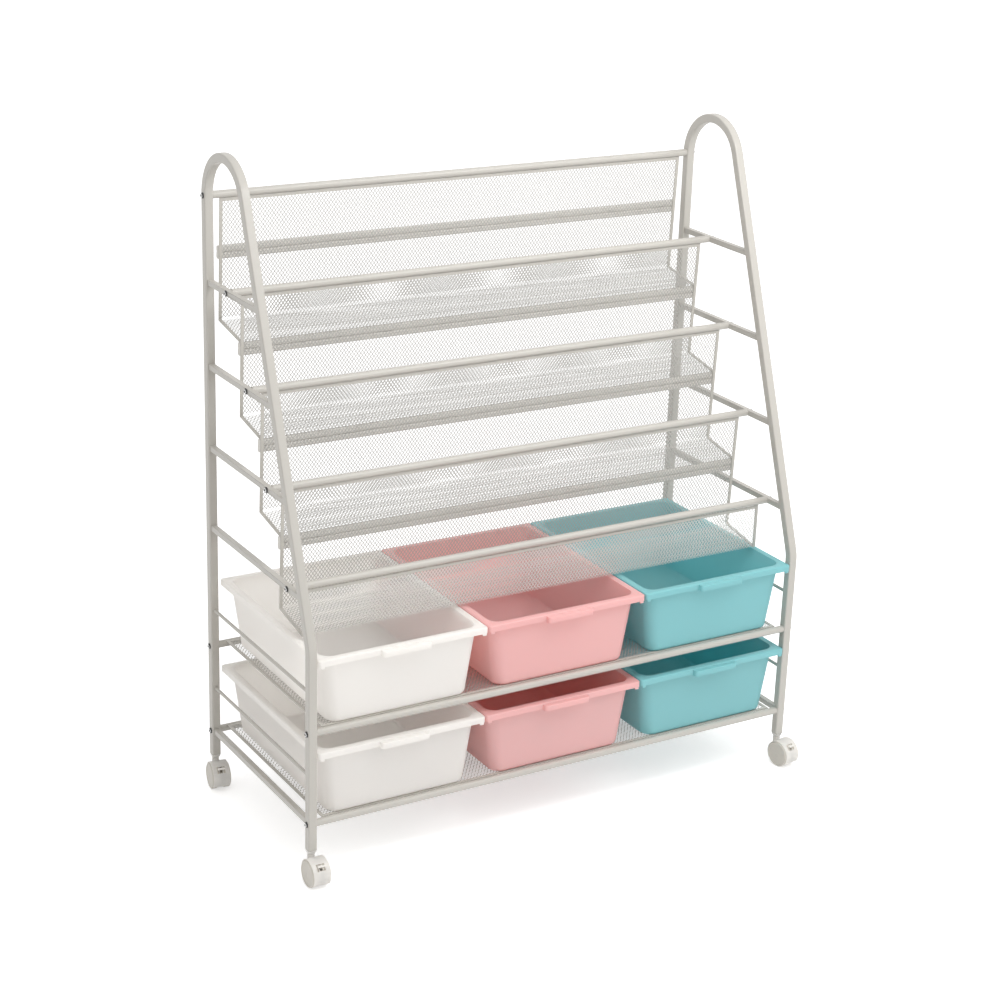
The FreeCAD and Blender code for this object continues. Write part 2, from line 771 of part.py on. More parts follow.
def lever():
    low = -size.brake_thick / 2
    arm = Part.makeBox(
        2 * half_lever, size.brake_arm, size.brake_thick,
        Vector(-half_lever, -size.brake_arm, low),
    )
    tab = Part.makeBox(
        size.brake_width, size.brake_reach - size.brake_arm, size.brake_thick,
        Vector(-size.brake_width / 2, -size.brake_reach, low),
    )
    tab = tab.makeFillet(size.brake_thick * round_share, front_uprights(tab))
    pin = across(size.brake_pin / 2, half_web, 0, 0)
    return at_pin(arm).fuse([at_pin(tab), at_pin(pin)]).removeSplitter()


def sketched_wheel(name):
    # Half section of a wheel in a sketch, turned about its own axis
    hub = "sizes.axle_diameter / 2 + sizes.fit_clearance / 2"
    rim = "sizes.wheel_radius"
    on_axis = "0"
    inside = "sizes.web_thick / 2 + sizes.wheel_clearance"
    outside = inside + " + sizes.wheel_width"
    face = outside + " - sizes.disc_step"
    bore_end = outside + " - sizes.cap_thick"
    points = [
        (hub, inside),
        (rim + " - sizes.wheel_bevel", inside),
        (rim, inside + " + sizes.wheel_bevel"),
        (rim, outside + " - sizes.wheel_bevel"),
        (rim + " - sizes.wheel_bevel", outside),
        (rim + " - 2 * sizes.wheel_bevel", outside),
        (rim + " - 2 * sizes.wheel_bevel - sizes.disc_step", face),
        (hub, face),
        (on_axis, face + " - sizes.dimple_depth"),
        (on_axis, bore_end),
        (hub, bore_end),
    ]
    body = doc.addObject("PartDesign::Body", name)
    sketch = body.newObject("Sketcher::SketchObject", name + "_section")
    plane = [item for item in body.Origin.OriginFeatures if item.Role == "XY_Plane"][0]
    sketch.AttachmentSupport = [(plane, "")]
    sketch.MapMode = "FlatFace"
    places = [Vector(sheet.evalExpression(a), sheet.evalExpression(b), 0) for a, b in points]
    for index, place in enumerate(places):
        after = places[(index + 1) % len(places)]
        sketch.addGeometry(Part.LineSegment(place, after), False)
    for index, (across_text, up_text) in enumerate(points):
        following = (index + 1) % len(points)
        sketch.addConstraint(Sketcher.Constraint("Coincident", index, 2, following, 1))
        if across_text == on_axis:
            sketch.addConstraint(Sketcher.Constraint("PointOnObject", index, 1, -2))
        else:
            place = sketch.addConstraint(Sketcher.Constraint("DistanceX", -1, 1, index, 1, places[index].x))
            sketch.setExpression("Constraints[%d]" % place, across_text)
        place = sketch.addConstraint(Sketcher.Constraint("DistanceY", -1, 1, index, 1, places[index].y))
        sketch.setExpression("Constraints[%d]" % place, up_text)
    turned = body.newObject("PartDesign::Revolution", name + "_turned")
    turned.Profile = sketch
    turned.ReferenceAxis = (sketch, ["V_Axis"])
    return body


caster_spots = {
    "front_left": (-leg_x, front_y, 0.0),
    "front_right": (leg_x, front_y, size.caster_turn),
    "back_left": (-leg_x, back_y, -size.caster_turn),
    "back_right": (leg_x, back_y, 0.0),
}
sockets = []
housing_shape = housing()
lever_shape = lever()
for spot, (x, y, angle) in caster_spots.items():
    place = FreeCAD.Placement(Vector(x, y, 0), FreeCAD.Rotation(z_axis, angle))
    insert = socket()
    insert.Placement = FreeCAD.Placement(Vector(x, y, 0), FreeCAD.Rotation())
    sockets.append(insert)
    feature("%s_caster_housing" % spot, housing_shape, place)
    feature("%s_caster_brake" % spot, lever_shape, place)
    stem = bound("Part::Cylinder", "%s_caster_stem" % spot, {
        "Radius": "sizes.stem_diameter / 2",
        "Height": "sizes.wheel_radius + sizes.foot_clearance + sizes.stem_engaged - sizes.stem_seat",
    }, FreeCAD.Placement(Vector(x, y, stem_bottom), FreeCAD.Rotation()))
    keep(stem, stem.Name)
    half_axle = half_web + size.wheel_width - size.cap_thick
    axle_base = place.multVec(Vector(-half_axle, axle_y, axle_z))
    axle = bound("Part::Cylinder", "%s_caster_axle" % spot, {
        "Radius": "sizes.axle_diameter / 2",
        "Height": "sizes.web_thick + 2 * sizes.wheel_width - 2 * sizes.cap_thick",
    }, along(place.Rotation.multVec(x_axis), axle_base))
    keep(axle, axle.Name)
    pair = []
    for facing, sign in (("near", -1), ("far", 1)):
        wheel = sketched_wheel("%s_caster_%s_wheel" % (spot, facing))
        flip = FreeCAD.Rotation(y_axis, x_axis * sign)
        wheel.Placement = place.multiply(FreeCAD.Placement(Vector(0, axle_y, axle_z), flip))
        pair.append(wheel)
    wheels = doc.addObject("Part::Compound", "%s_caster_wheels" % spot)
    wheels.Links = pair
    keep(wheels, wheels.Name)
feature("caster_sockets", Part.makeCompound(sockets))

# Check of every sub-part and export
doc.recompute()
for item in doc.Objects:
    if "Invalid" in item.State or "Error" in item.State:
        raise RuntimeError("not rebuilt: " + item.Label)
os.makedirs("parts", exist_ok=True)
for item in subparts:
    if item.Shape.isNull() or not item.Shape.isValid():
        raise RuntimeError("not a sound shape: " + item.Label)
    item.Shape.exportStep("parts/%s.step" % item.Label)
print("sub-parts", len(subparts))
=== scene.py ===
import math
import bmesh
import bpy
from mathutils import Matrix, Vector


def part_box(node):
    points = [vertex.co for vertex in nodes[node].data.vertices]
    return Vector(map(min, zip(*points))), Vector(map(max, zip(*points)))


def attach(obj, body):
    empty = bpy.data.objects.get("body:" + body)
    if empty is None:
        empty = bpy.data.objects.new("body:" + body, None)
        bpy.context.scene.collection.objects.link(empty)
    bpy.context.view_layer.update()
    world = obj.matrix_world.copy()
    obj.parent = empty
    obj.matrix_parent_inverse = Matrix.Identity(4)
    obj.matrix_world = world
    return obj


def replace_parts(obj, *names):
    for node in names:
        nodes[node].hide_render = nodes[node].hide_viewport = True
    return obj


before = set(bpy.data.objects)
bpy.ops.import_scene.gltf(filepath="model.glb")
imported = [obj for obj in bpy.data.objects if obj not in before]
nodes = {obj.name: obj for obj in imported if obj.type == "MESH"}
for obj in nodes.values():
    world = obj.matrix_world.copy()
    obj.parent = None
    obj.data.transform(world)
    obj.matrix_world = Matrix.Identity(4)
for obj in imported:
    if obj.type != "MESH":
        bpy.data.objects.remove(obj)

scene = bpy.context.scene
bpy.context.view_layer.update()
scene.view_settings.view_transform = "Standard"
mm = 0.001
print("frame loaded:", len(nodes), "nodes")


# finishes
def shaderGroup(name, inputs, outputs):
    group = bpy.data.node_groups.new(name, "ShaderNodeTree")
    for label, kind, value in inputs:
        made = group.interface.new_socket(name=label, in_out="INPUT", socket_type=kind)
        made.default_value = value
    for label, kind in outputs:
        group.interface.new_socket(name=label, in_out="OUTPUT", socket_type=kind)
    return group, group.nodes.new("NodeGroupInput"), group.nodes.new("NodeGroupOutput")


coatNoise = {"grainDetail": 2.0, "toneDetail": 4.0, "toneSpan": (0.3, 0.7)}


def coatGrainGroup():
    group, given, made = shaderGroup("coatGrain", [
        ("Color", "NodeSocketColor", (0.8, 0.8, 0.8, 1.0)),
        ("Grain Scale", "NodeSocketFloat", 900.0),
        ("Tone Scale", "NodeSocketFloat", 6.0),
        ("Tone Shift", "NodeSocketFloat", 0.04),
        ("Rough Low", "NodeSocketFloat", 0.35),
        ("Rough High", "NodeSocketFloat", 0.5),
    ], [
        ("Color", "NodeSocketColor"),
        ("Roughness", "NodeSocketFloat"),
        ("Height", "NodeSocketFloat"),
    ])
    link = group.links.new
    place = group.nodes.new("ShaderNodeTexCoord")
    grain = group.nodes.new("ShaderNodeTexNoise")
    grain.inputs["Detail"].default_value = coatNoise["grainDetail"]
    link(place.outputs["Object"], grain.inputs["Vector"])
    link(given.outputs["Grain Scale"], grain.inputs["Scale"])
    tone = group.nodes.new("ShaderNodeTexNoise")
    tone.inputs["Detail"].default_value = coatNoise["toneDetail"]
    link(place.outputs["Object"], tone.inputs["Vector"])
    link(given.outputs["Tone Scale"], tone.inputs["Scale"])
    low = group.nodes.new("ShaderNodeMath")
    low.operation = "SUBTRACT"
    low.inputs[0].default_value = 1.0
    link(given.outputs["Tone Shift"], low.inputs[1])
    high = group.nodes.new("ShaderNodeMath")
    high.operation = "ADD"
    high.inputs[0].default_value = 1.0
    link(given.outputs["Tone Shift"], high.inputs[1])
    level = group.nodes.new("ShaderNodeMapRange")
    link(tone.outputs["Fac"], level.inputs["Value"])
    level.inputs["From Min"].default_value = coatNoise["toneSpan"][0]
    level.inputs["From Max"].default_value = coatNoise["toneSpan"][1]
    link(low.outputs[0], level.inputs["To Min"])
    link(high.outputs[0], level.inputs["To Max"])
    shade = group.nodes.new("ShaderNodeVectorMath")
    shade.operation = "SCALE"
    link(given.outputs["Color"], shade.inputs[0])
    link(level.outputs["Result"], shade.inputs["Scale"])
    link(shade.outputs["Vector"], made.inputs["Color"])
    rough = group.nodes.new("ShaderNodeMapRange")
    link(tone.outputs["Fac"], rough.inputs["Value"])
    link(given.outputs["Rough Low"], rough.inputs["To Min"])
    link(given.outputs["Rough High"], rough.inputs["To Max"])
    link(rough.outputs["Result"], made.inputs["Roughness"])
    link(grain.outputs["Fac"], made.inputs["Height"])
    return group


coatGrain = coatGrainGroup()


def paintedShadeByFacing(tree, look):
    # painted shade: faces that turn away from the sides, such as the socket walls and the rims of the
    # domes, are painted darker, standing in for shade and dark reflections
    facing = tree.nodes.new("ShaderNodeNewGeometry")
    split = tree.nodes.new("ShaderNodeSeparateXYZ")
    tree.links.new(facing.outputs["Normal"], split.inputs["Vector"])
    sideways = tree.nodes.new("ShaderNodeMath")
    sideways.operation = "ABSOLUTE"
    tree.links.new(split.outputs["X"], sideways.inputs[0])
    level = tree.nodes.new("ShaderNodeMapRange")
    level.inputs["From Min"].default_value = look["paintedShadeFacing"][0]
    level.inputs["From Max"].default_value = look["paintedShadeFacing"][1]
    tree.links.new(sideways.outputs[0], level.inputs["Value"])
    shades = tree.nodes.new("ShaderNodeMix")
    shades.data_type = "RGBA"
    shades.inputs["A"].default_value = (*look["paintedShadeColor"], 1.0)
    shades.inputs["B"].default_value = (*look["color"], 1.0)
    tree.links.new(level.outputs["Result"], shades.inputs["Factor"])
    return shades.outputs["Result"]


def lightThrough(tree, shader, look):
    # thin plastic lets some light through its walls
    veil = tree.nodes.new("ShaderNodeBsdfTranslucent")
    veil.inputs["Color"].default_value = (*look["through"], 1.0)
    blend = tree.nodes.new("ShaderNodeMixShader")
    blend.inputs["Fac"].default_value = look["throughShare"]
    tree.links.new(shader.outputs["BSDF"], blend.inputs[1])
    tree.links.new(veil.outputs["BSDF"], blend.inputs[2])
    tree.links.new(blend.outputs["Shader"], tree.nodes["Material Output"].inputs["Surface"])


def grainMaterial(name, look):
    made = bpy.data.materials.new(name)
    made.use_nodes = True
    tree = made.node_tree
    shader = tree.nodes["Principled BSDF"]
    grain = tree.nodes.new("ShaderNodeGroup")
    grain.node_tree = coatGrain
    grain.inputs["Color"].default_value = (*look["color"], 1.0)
    grain.inputs["Grain Scale"].default_value = look["grainScale"]
    grain.inputs["Tone Scale"].default_value = look["toneScale"]
    grain.inputs["Tone Shift"].default_value = look["toneShift"]
    grain.inputs["Rough Low"].default_value = look["rough"][0]
    grain.inputs["Rough High"].default_value = look["rough"][1]
    bump = tree.nodes.new("ShaderNodeBump")
    bump.inputs["Strength"].default_value = look["bump"]
    bump.inputs["Distance"].default_value = look["bumpDepth"]
    # painted shade by facing, for the looks that carry it
    if "paintedShadeColor" in look:
        tree.links.new(paintedShadeByFacing(tree, look), grain.inputs["Color"])
    tree.links.new(grain.outputs["Color"], shader.inputs["Base Color"])
    tree.links.new(grain.outputs["Roughness"], shader.inputs["Roughness"])
    tree.links.new(grain.outputs["Height"], bump.inputs["Height"])
    tree.links.new(bump.outputs["Normal"], shader.inputs["Normal"])
    shader.inputs["Metallic"].default_value = look.get("metal", 0.0)
    if "coat" in look:
        shader.inputs["Coat Weight"].default_value = look["coat"]
        shader.inputs["Coat Roughness"].default_value = look["coatRough"]
    if "through" in look:
        lightThrough(tree, shader, look)
    return made


finishes = {
    "rackPaint": {"color": (0.525, 0.503, 0.46), "grainScale": 1400.0, "toneScale": 5.0, "toneShift": 0.02,
                  "rough": (0.34, 0.46), "bump": 0.12, "bumpDepth": 0.0004, "coat": 0.1, "coatRough": 0.25},
    "meshPaint": {"color": (0.49, 0.478, 0.453), "grainScale": 900.0, "toneScale": 7.0, "toneShift": 0.03,
                  "rough": (0.42, 0.55), "bump": 0.08, "bumpDepth": 0.0003},
    # painted light: the lip's strands are the panels' mesh paint, made paler so they read as lit
    "lipMeshPaintedLight": {"color": (0.78, 0.765, 0.735), "grainScale": 900.0, "toneScale": 7.0, "toneShift": 0.03,
                 "rough": (0.42, 0.55), "bump": 0.08, "bumpDepth": 0.0003},
    # painted light: the rolled strips are the frame's paint, made paler so they read as lit behind the mesh
    "stripPaintedLight": {"color": (0.76, 0.735, 0.69), "grainScale": 1400.0, "toneScale": 5.0, "toneShift": 0.02,
                   "rough": (0.36, 0.48), "bump": 0.1, "bumpDepth": 0.0004},
    # painted shade: the bolt heads are painted dark where their faces turn away from the side
    "boltPlate": {"color": (0.72, 0.72, 0.71), "paintedShadeColor": (0.07, 0.07, 0.07), "paintedShadeFacing": (0.7, 0.97),
                  "grainScale": 2200.0, "toneScale": 90.0, "toneShift": 0.06,
                  "rough": (0.18, 0.32), "bump": 0.05, "bumpDepth": 0.0002, "metal": 1.0},
    "pinSteel": {"color": (0.72, 0.68, 0.62), "grainScale": 1800.0, "toneScale": 60.0, "toneShift": 0.08,
                 "rough": (0.25, 0.4), "bump": 0.06, "bumpDepth": 0.0002, "metal": 1.0},
    "casterPlastic": {"color": (0.935, 0.93, 0.915), "grainScale": 1100.0, "toneScale": 20.0,
                      "toneShift": 0.02, "rough": (0.3, 0.42), "bump": 0.06, "bumpDepth": 0.0003,
                      "through": (1.0, 0.962, 0.9), "throughShare": 0.4},
    # painted shade: the wheels are the casters' plastic, made darker for the shade on their sides
    "wheelPlasticPaintedShade": {"color": (0.67, 0.64, 0.58), "grainScale": 1100.0, "toneScale": 20.0,
                     "toneShift": 0.02, "rough": (0.34, 0.46), "bump": 0.06, "bumpDepth": 0.0003,
                     "through": (1.0, 0.9, 0.74), "throughShare": 0.12},
    "binWhite": {"color": (0.965, 0.963, 0.96), "grainScale": 1300.0, "toneScale": 4.0, "toneShift": 0.012,
                 "rough": (0.36, 0.46), "bump": 0.06, "bumpDepth": 0.0003,
                 "through": (1.0, 0.978, 0.945), "throughShare": 0.54},
    "binPink": {"color": (0.945, 0.67, 0.66), "grainScale": 1300.0, "toneScale": 4.0, "toneShift": 0.015,
                "rough": (0.36, 0.46), "bump": 0.06, "bumpDepth": 0.0003,
                "through": (1.0, 0.45, 0.4), "throughShare": 0.36},
    "binTeal": {"color": (0.32, 0.675, 0.7), "grainScale": 1300.0, "toneScale": 4.0, "toneShift": 0.015,
                "rough": (0.36, 0.46), "bump": 0.06, "bumpDepth": 0.0003,
                "through": (0.2, 0.76, 0.8), "throughShare": 0.3},
}
finish = {name: grainMaterial(name, look) for name, look in finishes.items()}
print("finishes made:", len(finish))


# small helpers for hand modelling
def deselectAll():
    if bpy.context.object and bpy.context.object.mode != "OBJECT":
        bpy.ops.object.mode_set(mode="OBJECT")
    bpy.ops.object.select_all(action="DESELECT")


def makeActive(obj):
    deselectAll()
    obj.select_set(True)
    bpy.context.view_layer.objects.active = obj


def startBlock(name, low, high):
    deselectAll()
    middle = [(a + b) / 2 for a, b in zip(low, high)]
    bpy.ops.mesh.primitive_cube_add(size=1.0, location=middle)
    obj = bpy.context.object
    obj.name = name
    obj.scale = [b - a for a, b in zip(low, high)]
    bpy.ops.object.transform_apply(location=True, rotation=True, scale=True)
    return obj


def pickEdges(obj, test):
    makeActive(obj)
    bpy.ops.object.mode_set(mode="EDIT")
    bpy.ops.mesh.select_mode(type="EDGE")
    bpy.ops.mesh.select_all(action="DESELECT")
    shape = bmesh.from_edit_mesh(obj.data)
    for edge in shape.edges:
        a, b = (v.co for v in edge.verts)
        edge.select = test(a, b)
    bmesh.update_edit_mesh(obj.data)


def pickFaces(obj, test):
    makeActive(obj)
    bpy.ops.object.mode_set(mode="EDIT")
    bpy.ops.mesh.select_mode(type="FACE")
    bpy.ops.mesh.select_all(action="DESELECT")
    shape = bmesh.from_edit_mesh(obj.data)
    for face in shape.faces:
        face.select = test(face.calc_center_median())
    bmesh.update_edit_mesh(obj.data)


def bevelPicked(offset, segments):
    bpy.ops.mesh.bevel(offset=offset, segments=segments, affect="EDGES", clamp_overlap=True)
    bpy.ops.object.mode_set(mode="OBJECT")


def applyModifier(obj, kind, **values):
    makeActive(obj)
    modifier = obj.modifiers.new(kind.lower(), kind)
    for key, value in values.items():
        setattr(modifier, key, value)
    bpy.ops.object.modifier_apply(modifier=modifier.name)


def combine(obj, other, operation):
    applyModifier(obj, "BOOLEAN", object=other, operation=operation, solver="EXACT")
    bpy.data.objects.remove(other)


def upright(a, b):
    return abs(a.z - b.z) > max(abs(a.x - b.x), abs(a.y - b.y))


def smoothByAngle(obj, degrees):
    makeActive(obj)
    bpy.ops.object.shade_smooth_by_angle(angle=math.radians(degrees))


def dress(obj, material):
    obj.data.materials.clear()
    obj.data.materials.append(material)


softening = {"weld": 0.01 * mm, "sharpAngle": 40.0, "steps": 2, "barEdge": 0.5 * mm, "thinEdge": 0.4 * mm}


def softenNode(name, width, material):
    obj = nodes[name]
    weld = obj.modifiers.new("weld", "WELD")
    weld.merge_threshold = softening["weld"]
    if width:
        bevel = obj.modifiers.new("edges", "BEVEL")
        bevel.width = width
        bevel.segments = softening["steps"]
        bevel.limit_method = "ANGLE"
        bevel.angle_limit = math.radians(softening["sharpAngle"])
        bevel.use_clamp_overlap = True
        bevel.harden_normals = False
    dress(obj, material)


# steel frame: solids of the frame keep their shape and take the paint
tiers = (1, 2, 3, 4)
levels = ("upper", "lower")
barNodes = ["left_rungs", "right_rungs"]
sheetFrames = ["upper_shelf_frame", "lower_shelf_frame", "front_lip_frame"]
sheetFrames += ["panel_%d_frame" % tier for tier in tiers]
tubeNodes = ["left_side_tube", "right_side_tube", "guard_wires"]
tubeNodes += ["top_rail", "tier_2_rail", "tier_3_rail", "tier_4_rail", "tier_5_rail"]
tubeNodes += [level + end for level in levels for end in ("_front_rail", "_back_rail")]
for name in barNodes:
    softenNode(name, softening["barEdge"], finish["rackPaint"])
for name in sheetFrames:
    softenNode(name, softening["thinEdge"], finish["rackPaint"])
for name in tubeNodes:  # their edges are round in the solids
    softenNode(name, 0, finish["rackPaint"])
# painted light: the strips take a paler copy of the frame paint
for tier in tiers:
    softenNode("panel_%d_strip" % tier, 0, finish["stripPaintedLight"])
softenNode("frame_bolts", 0, finish["boltPlate"])
softenNode("caster_sockets", softening["thinEdge"], finish["casterPlastic"])
# the wheels take a darker copy of the casters' plastic, as painted shade
for spot in ("front_left", "front_right", "back_left", "back_right"):
    for part in ("_caster_housing", "_caster_brake"):
        softenNode(spot + part, softening["thinEdge"], finish["casterPlastic"])
    softenNode(spot + "_caster_wheels", 0, finish["wheelPlasticPaintedShade"])
    for part in ("_caster_stem", "_caster_axle"):
        softenNode(spot + part, 0, finish["pinSteel"])
print("steel frame and casters dressed")


# plates that close the ends of the rolled strips
stripEnd = {
    "thick": 0.6 * mm,
    "setIn": 0.3 * mm,
    "trim": 1.2 * mm,
    "corner": 3.0 * mm,
    "cornerSteps": 3,
    "lean": 2.66,  # degrees, as the panels' backs
}


def stripEndPlate(low, high, side):
    size = Vector(high) - Vector(low)
    half = Vector((stripEnd["thick"], size.y - stripEnd["trim"], size.z - stripEnd["trim"])) / 2
    plate = startBlock("plate", -half, half)
    pickEdges(plate, lambda a, b: abs(a.x - b.x) > half.x)
    bevelPicked(stripEnd["corner"], stripEnd["cornerSteps"])
    plate.rotation_euler = (math.radians(stripEnd["lean"]), 0, 0)
    plate.location = (Vector(low) + Vector(high)) / 2
    plate.location.x = side * (high[0] - stripEnd["setIn"] - half.x)
    makeActive(plate)
    bpy.ops.object.transform_apply(location=True, rotation=True, scale=True)
    return plate


plates = []
for tier in tiers:
    stripLow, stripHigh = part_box("panel_%d_strip" % tier)
    plates += [stripEndPlate(stripLow, stripHigh, side) for side in (-1, 1)]
makeActive(plates[0])
for plate in plates:
    plate.select_set(True)
bpy.ops.object.join()
stripEnds = bpy.context.object
stripEnds.name = "strip_end_plates"
# painted light: the end plates take the strips' paler paint
dress(stripEnds, finish["stripPaintedLight"])
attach(stripEnds, "rack")
print("strip ends closed:", len(plates))


# expanded metal sheets
meshSheet = {
    "pitchAcross": 6.6 * mm,
    "pitchDown": 9.1 * mm,
    "strandWide": 1.05 * mm,
    "strandThick": 0.5 * mm,
    "halfWidth": 464.0 * mm,
    "tuck": 3.0 * mm,  # how far a sheet reaches into its border
    "join": 0.02 * mm,  # corners nearer than this are one
}


def strandDiamond(across, down):
    deselectAll()
    bpy.ops.mesh.primitive_circle_add(vertices=4, radius=1.0, fill_type="NGON", location=(0, 0, 0))
    diamond = bpy.context.object
    bpy.ops.object.mode_set(mode="EDIT")
    bpy.ops.mesh.select_all(action="SELECT")
    bpy.ops.transform.resize(value=(across / 2, down / 2, 1))
    bpy.ops.mesh.inset(thickness=meshSheet["strandWide"] / 2, use_even_offset=True)
    bpy.ops.mesh.delete(type="FACE")
    bpy.ops.object.mode_set(mode="OBJECT")
    return diamond


def repeat(obj, count, step):
    applyModifier(obj, "ARRAY", count=count, use_relative_offset=False, use_constant_offset=True,
                  constant_offset_displace=step)


def flatUv(obj):
    for layer in list(obj.data.uv_layers):
        obj.data.uv_layers.remove(layer)
    layer = obj.data.uv_layers.new(name="OFBake")
    places = [0.0] * (3 * len(obj.data.vertices))
    obj.data.vertices.foreach_get("co", places)
    xs = places[0::3]
    ys = places[1::3]
    lowX, wide = min(xs), max(xs) - min(xs)
    lowY, tall = min(ys), max(ys) - min(ys)
    corners = [0] * len(obj.data.loops)
    obj.data.loops.foreach_get("vertex_index", corners)
    spread = []
    for corner in corners:
        spread.append((xs[corner] - lowX) / wide)
        spread.append((ys[corner] - lowY) / tall)
    layer.data.foreach_set("uv", spread)


def expandedSheet(name, start, end, paint="meshPaint"):
    # start and end are the side view (y, z) of the sheet's two long edges
    run = Vector((0, end[0] - start[0], end[1] - start[1]))
    width = 2 * (meshSheet["halfWidth"] + meshSheet["tuck"])
    columns = round(width / meshSheet["pitchAcross"])
    rows = round(run.length / meshSheet["pitchDown"])
    across = width / (columns + 0.5)  # every other row stands half a diamond further
    down = run.length / (rows + 0.5)
    sheet = strandDiamond(across, down)
    sheet.name = name
    repeat(sheet, columns, (across, 0, 0))
    repeat(sheet, 2, (across / 2, -down / 2, 0))
    repeat(sheet, rows, (0, -down, 0))
    makeActive(sheet)
    bpy.ops.object.mode_set(mode="EDIT")
    bpy.ops.mesh.select_all(action="SELECT")
    bpy.ops.mesh.remove_doubles(threshold=meshSheet["join"])
    bpy.ops.object.mode_set(mode="OBJECT")
    applyModifier(sheet, "SOLIDIFY", thickness=meshSheet["strandThick"], offset=0.0)
    flatUv(sheet)
    along = run.normalized() * -1
    facing = Vector((1, 0, 0)).cross(along)
    turn = Matrix(((1, 0, 0), (0, along.y, facing.y), (0, along.z, facing.z))).to_4x4()
    shift = Matrix.Translation(((across - width) / 2, -down / 2, 0))
    sheet.data.transform(Matrix.Translation((0, *start)) @ turn @ shift)
    dress(sheet, finish[paint])
    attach(sheet, "rack")
    return sheet


def middleOf(name):
    low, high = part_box(name)
    return (Vector(low) + Vector(high)) / 2


pockets = {
    "rails": ("top_rail", "tier_2_rail", "tier_3_rail", "tier_4_rail"),
    "topGap": 6.8 * mm,
    "border": 6.0 * mm,
    "drop": 222.0 * mm,
    "lean": 10.0 * mm,
    "floorDrop": 16.5 * mm,
}
below = pockets["border"] - meshSheet["tuck"]  # from a panel's top edge to its sheet
leanShare = below / (pockets["drop"] - pockets["topGap"])
for tier, railName in zip(tiers, pockets["rails"]):
    net = "panel_%d_mesh" % tier
    rail = middleOf(railName)
    top = (rail.y + pockets["lean"] * leanShare, rail.z - pockets["topGap"] - below)
    bend = (rail.y + pockets["lean"], rail.z - pockets["drop"])
    low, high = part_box(net)
    front = (low[1], bend[1] - pockets["floorDrop"])
    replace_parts(expandedSheet("panel_%d_back_sheet" % tier, top, bend), net)
    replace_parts(expandedSheet("panel_%d_floor_sheet" % tier, bend, front), net)
low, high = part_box("front_lip_mesh")
lipY = middleOf("front_lip_mesh").y
# painted light: the lip takes a paler copy of the mesh paint
lip = expandedSheet("front_lip_sheet", (lipY, high[2] + meshSheet["tuck"]), (lipY, low[2]), "lipMeshPaintedLight")
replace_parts(lip, "front_lip_mesh")
for level in levels:
    net = level + "_shelf_mesh"
    low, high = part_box(net)
    middle = tuple(middleOf(net).yz)
    rear = (high[1] + meshSheet["tuck"], middle[1])
    fore = (low[1] - meshSheet["tuck"], middle[1])
    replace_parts(expandedSheet(level + "_shelf_rear_sheet", rear, middle), net)
    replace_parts(expandedSheet(level + "_shelf_front_sheet", middle, fore), net)
print("mesh sheets made")


# storage bins
binShape = {
    "rim": 10.0 * mm,
    "wall": 2.0 * mm,
    "skirt": 11.0 * mm,
    "sideTaper": 17.0 * mm,
    "endTaper": 6.0 * mm,
    "corner": 22.0 * mm,
    "cornerSteps": 8,
    "rimCorner": 5.0 * mm,
    "rimCornerSteps": 5,
    "floorRound": 6.0 * mm,
    "floorSteps": 4,
    "gripWidth": 92.0 * mm,
    "gripReach": 8.0 * mm,  # how far the grip of the frame's solid stands out
    "gripProud": 10.0 * mm,  # how far this rounded grip stands out
    "gripCorner": 6.0 * mm,
    "gripCornerSteps": 6,
    "gripDrop": 10.5 * mm,
    "gripBelow": 1.6 * mm,
    "gripRound": 1.2 * mm,
    "gripRoundSteps": 3,
    "rimRound": 2.2 * mm,
    "rimRoundSteps": 4,
    "lugIn": 7.0 * mm,
    "lugHalf": 3.5 * mm,
    "lugDrop": 3.5 * mm,
    "lugUnder": 1.0 * mm,  # how far a lug reaches up behind the skirt
    "edge": 0.7 * mm,
    "near": 0.1 * mm,  # slack when edges are picked by height
}


def taperedTub(name, low, high, height, corner, floorRound):
    tub = startBlock(name, low, high)
    middle = [(a + b) / 2 for a, b in zip(low, high)]
    share = (high[2] - low[2]) / height
    sizes = [b - a for a, b in zip(low, high)]
    shrinkX = 1 - 2 * binShape["sideTaper"] * share / sizes[0]
    shrinkY = 1 - 2 * binShape["endTaper"] * share / sizes[1]
    pickFaces(tub, lambda centre: centre.z < low[2] + binShape["near"])
    bpy.ops.transform.resize(value=(shrinkX, shrinkY, 1), center_override=(middle[0], middle[1], low[2]))
    bpy.ops.object.mode_set(mode="OBJECT")
    pickEdges(tub, upright)
    bevelPicked(corner, binShape["cornerSteps"])
    pickEdges(tub, lambda a, b: max(a.z, b.z) < low[2] + binShape["near"])
    bevelPicked(floorRound, binShape["floorSteps"])
    return tub


